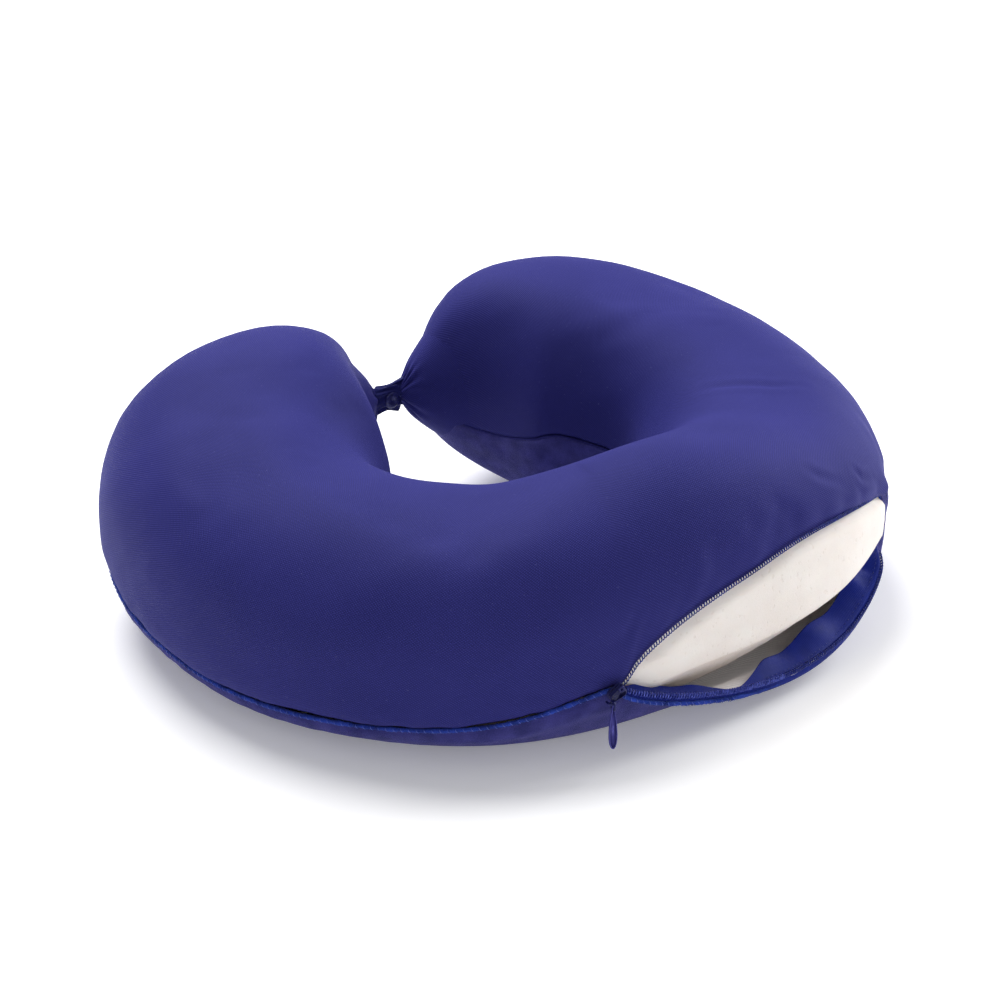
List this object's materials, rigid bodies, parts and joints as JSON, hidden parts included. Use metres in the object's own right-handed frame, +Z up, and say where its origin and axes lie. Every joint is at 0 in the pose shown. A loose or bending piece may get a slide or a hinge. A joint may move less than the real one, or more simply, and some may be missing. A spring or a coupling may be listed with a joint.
{
  "type": "u shaped neck pillow",
  "caption": "U-shaped travel neck pillow: foam core in a zipped stretch cover, zip part open, arms joined by a snap strap.",
  "frame": {"origin": "centre of the bounding box, on the surface that the pillow rests on", "axes": "+Z up, +Y from the nape towards the two arm tips, +X towards the arm on the zip's open side"},
  "size_m": [0.3066, 0.2476, 0.0997],
  "materials": {
    "foam": "matt smooth moulded foam skin",
    "cover_knit": "fine stretch knit with a soft sheen",
    "base_velour": "short-pile velour",
    "zip_tape": "satin woven tape",
    "zip_nylon": "nylon coil",
    "zip_metal": "gloss blue paint",
    "strap_knit": "gathered stretch knit",
    "snap": "dark blue press snap"
  },
  "bodies": {
    "pillow": {"foam_core": "foam", "cover_top": "cover_knit", "cover_base": "base_velour", "cover_lower_lip": "base_velour", "zip_tape_upper": "zip_tape", "zip_tape_lower": "zip_tape", "zip_coil_upper": "zip_nylon", "zip_coil_lower": "zip_nylon", "zip_end_stop": "zip_nylon"},
    "slider": {"zip_slider": "zip_metal", "zip_slider_bail": "zip_metal"},
    "puller": {"zip_puller_link": "zip_metal", "zip_puller": "zip_metal"},
    "left_strap": {"strap_left": "strap_knit", "snap_post": "snap", "snap_stud": "snap"},
    "right_strap": {"strap_right": "strap_knit", "snap_socket": "snap", "snap_cap": "snap"}
  },
  "joints": [
    {"name": "zip_travel", "type": "hinge", "parent": "pillow", "child": "slider", "pos_m": [0.00468, 0.05468, 0.00352], "axis": [-0.1516, 0.1816, 0.9716], "range_deg": [0, 50]},
    {"name": "puller_swing", "type": "hinge", "parent": "slider", "child": "puller", "pos_m": [-0.0538, -0.12133, 0.02634], "axis": [-0.9795, 0.2012, 0], "range_deg": [-12, 110]},
    {"name": "left_strap_swing", "type": "hinge", "parent": "pillow", "child": "left_strap", "pos_m": [-0.0123, 0.09846, 0.05246], "axis": [0, 0, -1], "range_deg": [0, 75]},
    {"name": "right_strap_swing", "type": "hinge", "parent": "pillow", "child": "right_strap", "pos_m": [0.0123, 0.09846, 0.05246], "axis": [0, 0, -1], "range_deg": [0, 75]}
  ]
}
